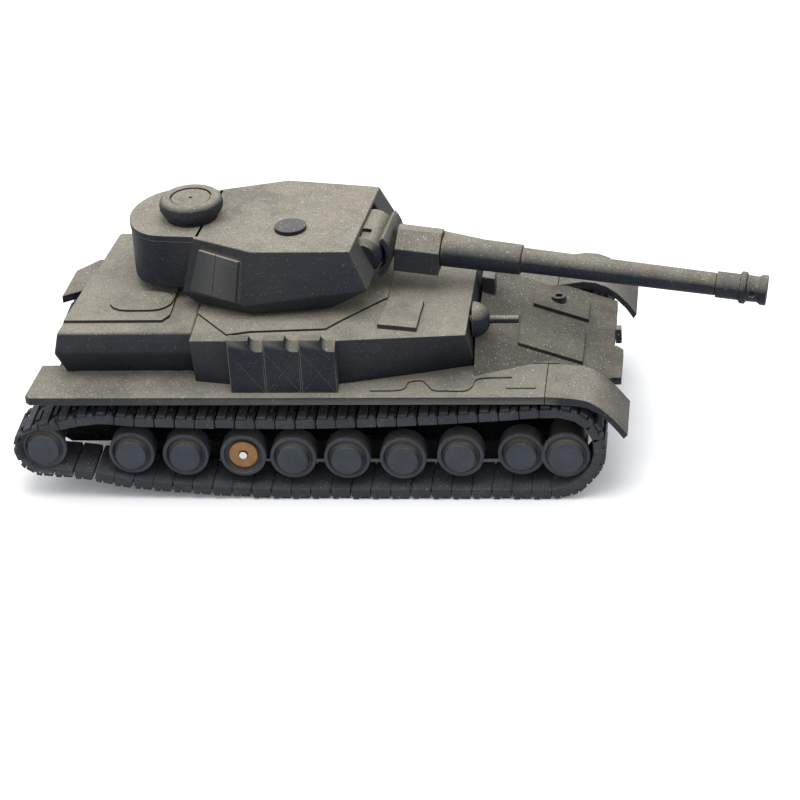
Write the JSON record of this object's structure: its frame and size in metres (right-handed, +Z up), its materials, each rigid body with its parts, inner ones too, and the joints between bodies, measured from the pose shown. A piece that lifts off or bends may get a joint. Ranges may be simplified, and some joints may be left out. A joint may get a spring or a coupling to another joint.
{
  "type": "radio-controlled model tank",
  "caption": "Hand-built radio-controlled model tank with a turning turret, elevating gun and geared running gear, painted matt black over carved wood.",
  "frame": {"origin": "middle of the whole length and width, on the ground under the tracks", "axes": "+X forward, towards the muzzle; +Y to the left side of the tank; +Z up"},
  "size_m": [0.4666, 0.1884, 0.166],
  "materials": {
    "painted_wood": "matt dark paint under a film of dust",
    "dark_wood": "matt black paint with wood grain showing",
    "wheel_paint": "smooth dark grey paint",
    "bare_wood": "unpainted end grain",
    "track_rubber": "dull dark rubber with dust",
    "axle_steel": "bright rod",
    "motor_casing": "satin",
    "battery_wrap": "shrink wrap",
    "board": "solder mask",
    "switch_cap": "moulded"
  },
  "bodies": {
    "hull": {"engine_deck": "painted_wood", "superstructure": "painted_wood", "glacis": "painted_wood", "turret_platform": "painted_wood", "engine_deck_panel": "painted_wood", "operator_hatch": "painted_wood", "transmission_hatch": "painted_wood", "glacis_plate": "painted_wood", "driver_visor": "painted_wood", "fuel_cans": "painted_wood", "right_fender": "painted_wood", "left_fender": "painted_wood", "right_mudguard": "painted_wood", "left_mudguard": "painted_wood", "hull_tub": "dark_wood", "belly_cover": "dark_wood", "tow_hook": "dark_wood", "track_right": "track_rubber", "gearmotor_right": "motor_casing", "track_left": "track_rubber", "gearmotor_left": "motor_casing", "axle_rack": "axle_steel", "battery_pack": "battery_wrap", "control_board": "board"},
    "turret": {"turret_shell": "painted_wood", "turret_ring": "dark_wood", "turret_bin": "painted_wood", "bin_lid": "painted_wood", "cupola": "painted_wood", "roof_vent": "dark_wood", "side_hatch_right": "painted_wood", "side_hatch_left": "painted_wood"},
    "gun": {"mantlet": "painted_wood", "gun_block": "painted_wood", "barrel": "dark_wood", "muzzle_brake": "dark_wood"},
    "hull_gun": {"hull_gun": "dark_wood"},
    "power_switch": {"power_switch": "switch_cap"},
    "drive_right": {"drive_wheel_right": "wheel_paint", "drive_shaft_right": "axle_steel"},
    "idler_right": {"idler_right": "wheel_paint"},
    "wheel_right_1": {"wheel_right_1": "wheel_paint"},
    "wheel_right_2": {"wheel_right_2": "wheel_paint"},
    "wheel_right_3": {"wheel_right_3": "bare_wood"},
    "wheel_right_4": {"wheel_right_4": "wheel_paint"},
    "wheel_right_5": {"wheel_right_5": "wheel_paint"},
    "wheel_right_6": {"wheel_right_6": "wheel_paint"},
    "wheel_right_7": {"wheel_right_7": "wheel_paint"},
    "wheel_right_8": {"wheel_right_8": "wheel_paint"},
    "drive_left": {"drive_wheel_left": "wheel_paint", "drive_shaft_left": "axle_steel"},
    "idler_left": {"idler_left": "wheel_paint"},
    "wheel_left_1": {"wheel_left_1": "wheel_paint"},
    "wheel_left_2": {"wheel_left_2": "wheel_paint"},
    "wheel_left_3": {"wheel_left_3": "wheel_paint"},
    "wheel_left_4": {"wheel_left_4": "wheel_paint"},
    "wheel_left_5": {"wheel_left_5": "wheel_paint"},
    "wheel_left_6": {"wheel_left_6": "wheel_paint"},
    "wheel_left_7": {"wheel_left_7": "wheel_paint"},
    "wheel_left_8": {"wheel_left_8": "wheel_paint"}
  },
  "joints": [
    {"name": "turret_traverse", "type": "hinge", "parent": "hull", "child": "turret", "pos_m": [-0.06305, 0, 0.108], "axis": [0, 0, 1], "continuous": true},
    {"name": "gun_elevation", "type": "hinge", "parent": "turret", "child": "gun", "pos_m": [-0.01328, -0.00479, 0.1357], "axis": [-0.0958, -0.9954, 0], "range_deg": [-2, 20]},
    {"name": "hull_gun_turn", "type": "hinge", "parent": "hull", "child": "hull_gun", "pos_m": [0.05285, -0.044, 0.1008], "axis": [1, 0, 0], "continuous": true},
    {"name": "power_switch_slide", "type": "slide", "parent": "hull", "child": "power_switch", "axis": [1, 0, 0], "range_m": [-0.003, 0.003]},
    {"name": "drive_right_spin", "type": "hinge", "parent": "hull", "child": "drive_right", "pos_m": [0.11005, -0.085, 0.0295], "axis": [0, 1, 0], "continuous": true},
    {"name": "idler_right_spin", "type": "hinge", "parent": "hull", "child": "idler_right", "pos_m": [-0.21425, -0.085, 0.0353], "axis": [0, 1, 0], "continuous": true},
    {"name": "wheel_right_1_spin", "type": "hinge", "parent": "hull", "child": "wheel_right_1", "pos_m": [-0.15935, -0.082, 0.0313], "axis": [0, 1, 0], "continuous": true},
    {"name": "wheel_right_2_spin", "type": "hinge", "parent": "hull", "child": "wheel_right_2", "pos_m": [-0.12552, -0.082, 0.0299], "axis": [0, 1, 0], "continuous": true},
    {"name": "wheel_right_3_spin", "type": "hinge", "parent": "hull", "child": "wheel_right_3", "pos_m": [-0.08949, -0.082, 0.0295], "axis": [0, 1, 0], "continuous": true},
    {"name": "wheel_right_4_spin", "type": "hinge", "parent": "hull", "child": "wheel_right_4", "pos_m": [-0.05836, -0.082, 0.0281], "axis": [0, 1, 0], "continuous": true},
    {"name": "wheel_right_5_spin", "type": "hinge", "parent": "hull", "child": "wheel_right_5", "pos_m": [-0.02483, -0.082, 0.0277], "axis": [0, 1, 0], "continuous": true},
    {"name": "wheel_right_6_spin", "type": "hinge", "parent": "hull", "child": "wheel_right_6", "pos_m": [0.0098, -0.082, 0.0274], "axis": [0, 1, 0], "continuous": true},
    {"name": "wheel_right_7_spin", "type": "hinge", "parent": "hull", "child": "wheel_right_7", "pos_m": [0.04533, -0.082, 0.0292], "axis": [0, 1, 0], "continuous": true},
    {"name": "wheel_right_8_spin", "type": "hinge", "parent": "hull", "child": "wheel_right_8", "pos_m": [0.08236, -0.082, 0.0282], "axis": [0, 1, 0], "continuous": true},
    {"name": "drive_left_spin", "type": "hinge", "parent": "hull", "child": "drive_left", "pos_m": [0.11005, 0.085, 0.0295], "axis": [0, 1, 0], "continuous": true},
    {"name": "idler_left_spin", "type": "hinge", "parent": "hull", "child": "idler_left", "pos_m": [-0.21425, 0.085, 0.0353], "axis": [0, 1, 0], "continuous": true},
    {"name": "wheel_left_1_spin", "type": "hinge", "parent": "hull", "child": "wheel_left_1", "pos_m": [-0.15935, 0.082, 0.0313], "axis": [0, 1, 0], "continuous": true},
    {"name": "wheel_left_2_spin", "type": "hinge", "parent": "hull", "child": "wheel_left_2", "pos_m": [-0.12552, 0.082, 0.0299], "axis": [0, 1, 0], "continuous": true},
    {"name": "wheel_left_3_spin", "type": "hinge", "parent": "hull", "child": "wheel_left_3", "pos_m": [-0.08949, 0.082, 0.0295], "axis": [0, 1, 0], "continuous": true},
    {"name": "wheel_left_4_spin", "type": "hinge", "parent": "hull", "child": "wheel_left_4", "pos_m": [-0.05836, 0.082, 0.0281], "axis": [0, 1, 0], "continuous": true},
    {"name": "wheel_left_5_spin", "type": "hinge", "parent": "hull", "child": "wheel_left_5", "pos_m": [-0.02483, 0.082, 0.0277], "axis": [0, 1, 0], "continuous": true},
    {"name": "wheel_left_6_spin", "type": "hinge", "parent": "hull", "child": "wheel_left_6", "pos_m": [0.0098, 0.082, 0.0274], "axis": [0, 1, 0], "continuous": true},
    {"name": "wheel_left_7_spin", "type": "hinge", "parent": "hull", "child": "wheel_left_7", "pos_m": [0.04533, 0.082, 0.0292], "axis": [0, 1, 0], "continuous": true},
    {"name": "wheel_left_8_spin", "type": "hinge", "parent": "hull", "child": "wheel_left_8", "pos_m": [0.08236, 0.082, 0.0282], "axis": [0, 1, 0], "continuous": true}
  ],
  "couplings": [
    {"joint": "idler_right_spin", "follows": "drive_right_spin", "ratio": 1.2255},
    {"joint": "wheel_right_1_spin", "follows": "drive_right_spin", "ratio": 0.8681},
    {"joint": "wheel_right_2_spin", "follows": "drive_right_spin", "ratio": 0.8681},
    {"joint": "wheel_right_3_spin", "follows": "drive_right_spin", "ratio": 0.8681},
    {"joint": "wheel_right_4_spin", "follows": "drive_right_spin", "ratio": 0.8681},
    {"joint": "wheel_right_5_spin", "follows": "drive_right_spin", "ratio": 0.8681},
    {"joint": "wheel_right_6_spin", "follows": "drive_right_spin", "ratio": 0.8681},
    {"joint": "wheel_right_7_spin", "follows": "drive_right_spin", "ratio": 0.8681},
    {"joint": "wheel_right_8_spin", "follows": "drive_right_spin", "ratio": 0.8681},
    {"joint": "idler_left_spin", "follows": "drive_left_spin", "ratio": 1.2255},
    {"joint": "wheel_left_1_spin", "follows": "drive_left_spin", "ratio": 0.8681},
    {"joint": "wheel_left_2_spin", "follows": "drive_left_spin", "ratio": 0.8681},
    {"joint": "wheel_left_3_spin", "follows": "drive_left_spin", "ratio": 0.8681},
    {"joint": "wheel_left_4_spin", "follows": "drive_left_spin", "ratio": 0.8681},
    {"joint": "wheel_left_5_spin", "follows": "drive_left_spin", "ratio": 0.8681},
    {"joint": "wheel_left_6_spin", "follows": "drive_left_spin", "ratio": 0.8681},
    {"joint": "wheel_left_7_spin", "follows": "drive_left_spin", "ratio": 0.8681},
    {"joint": "wheel_left_8_spin", "follows": "drive_left_spin", "ratio": 0.8681}
  ]
}
